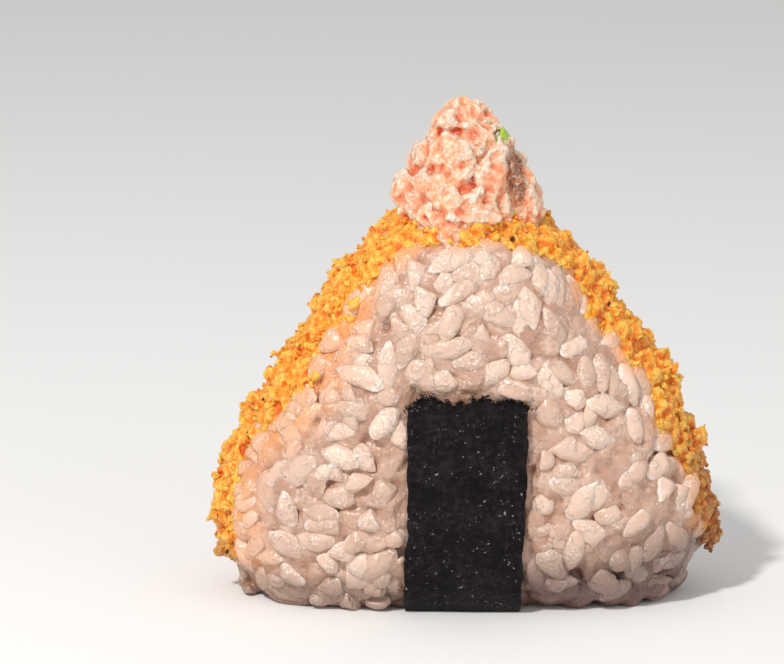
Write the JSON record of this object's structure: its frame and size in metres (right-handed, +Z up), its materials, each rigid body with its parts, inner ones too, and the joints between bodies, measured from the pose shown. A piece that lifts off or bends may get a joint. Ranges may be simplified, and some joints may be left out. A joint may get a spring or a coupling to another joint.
{
  "type": "onigiri rice ball",
  "caption": "Triangular pressed rice ball standing on its base, with a fried crumb coat on its slopes, a nori strip under the base and flaked salmon on the tip.",
  "frame": {"origin": "middle of the base of the object's box, on the surface it stands on", "axes": "+Z up, +X to the right of the front face, +Y from the front face to the back"},
  "size_m": [0.0816, 0.038, 0.0811],
  "materials": {
    "rice": "moist cooked short-grain rice, faintly translucent",
    "crumb_coat": "golden fried crumbs, rough, with browner patches",
    "nori": "moist near-black pressed seaweed, fine crinkles with small glints",
    "salmon": "moist creamy flaked salmon",
    "spring_onion": "fresh cut green leaf"
  },
  "bodies": {
    "root": {"rice": "rice", "crumb_coat": "crumb_coat", "nori": "nori", "salmon_topping": "salmon", "spring_onion": "spring_onion"}
  },
  "joints": []
}
